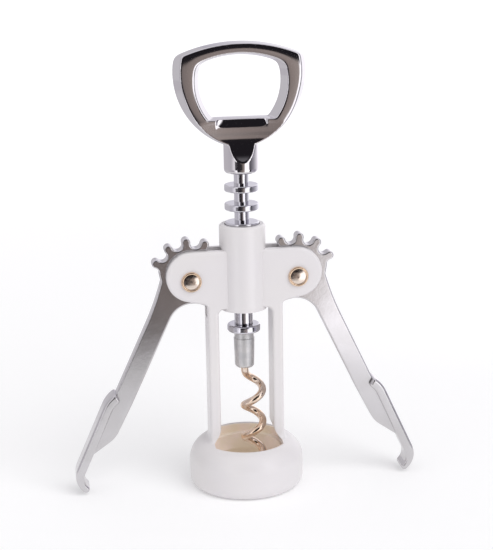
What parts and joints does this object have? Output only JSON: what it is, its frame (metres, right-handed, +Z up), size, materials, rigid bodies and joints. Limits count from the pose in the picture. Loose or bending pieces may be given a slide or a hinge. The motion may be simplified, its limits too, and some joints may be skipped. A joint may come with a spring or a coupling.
{
  "type": "double-lever corkscrew",
  "caption": "Corkscrew with two geared side levers that lift a ringed rack, a cup that sits on the bottle, and a ring handle that also opens crown caps.",
  "frame": {"origin": "on the spindle axis, in the plane of the cup's foot", "axes": "+Z up the spindle axis to the handle, +X towards the right lever, -Y towards the viewer"},
  "size_m": [0.1268, 0.0418, 0.163],
  "materials": {
    "white_moulding": "moulded, soft gloss",
    "cream_liner": "moulded, matt",
    "champagne_nickel": "bright nickel with a warm tint",
    "turned_chrome": "turned and bright plated",
    "cast_chrome": "cast, polished and bright plated",
    "spindle_steel": "drawn rod",
    "satin_socket": "satin, fine turning marks"
  },
  "bodies": {
    "frame": {"frame": "white_moulding", "neck_liner": "cream_liner", "left_rivet": "champagne_nickel", "right_rivet": "champagne_nickel"},
    "rack": {"rack_sleeve": "turned_chrome"},
    "worm_spindle": {"handle": "cast_chrome", "spindle": "spindle_steel", "collar": "turned_chrome", "worm_socket": "satin_socket", "worm": "champagne_nickel"},
    "left_lever": {"left_lever": "cast_chrome"},
    "right_lever": {"right_lever": "cast_chrome"}
  },
  "joints": [
    {"name": "rack_slide", "type": "slide", "parent": "frame", "child": "rack", "axis": [0, 0, 1], "range_m": [-0.028, 0.0056]},
    {"name": "handle_spin", "type": "hinge", "parent": "rack", "child": "worm_spindle", "pos_m": [0, 0, 0.09], "axis": [0, 0, 1], "continuous": true},
    {"name": "right_lever_pivot", "type": "hinge", "parent": "frame", "child": "right_lever", "pos_m": [0.01927, 0, 0.0791], "axis": [0, -1, 0], "range_deg": [-24, 120]},
    {"name": "left_lever_pivot", "type": "hinge", "parent": "frame", "child": "left_lever", "pos_m": [-0.01927, 0, 0.0791], "axis": [0, 1, 0], "range_deg": [-24, 120]}
  ],
  "couplings": [
    {"joint": "right_lever_pivot", "follows": "rack_slide", "rad_per_m": -74.46},
    {"joint": "left_lever_pivot", "follows": "rack_slide", "rad_per_m": -74.46}
  ]
}
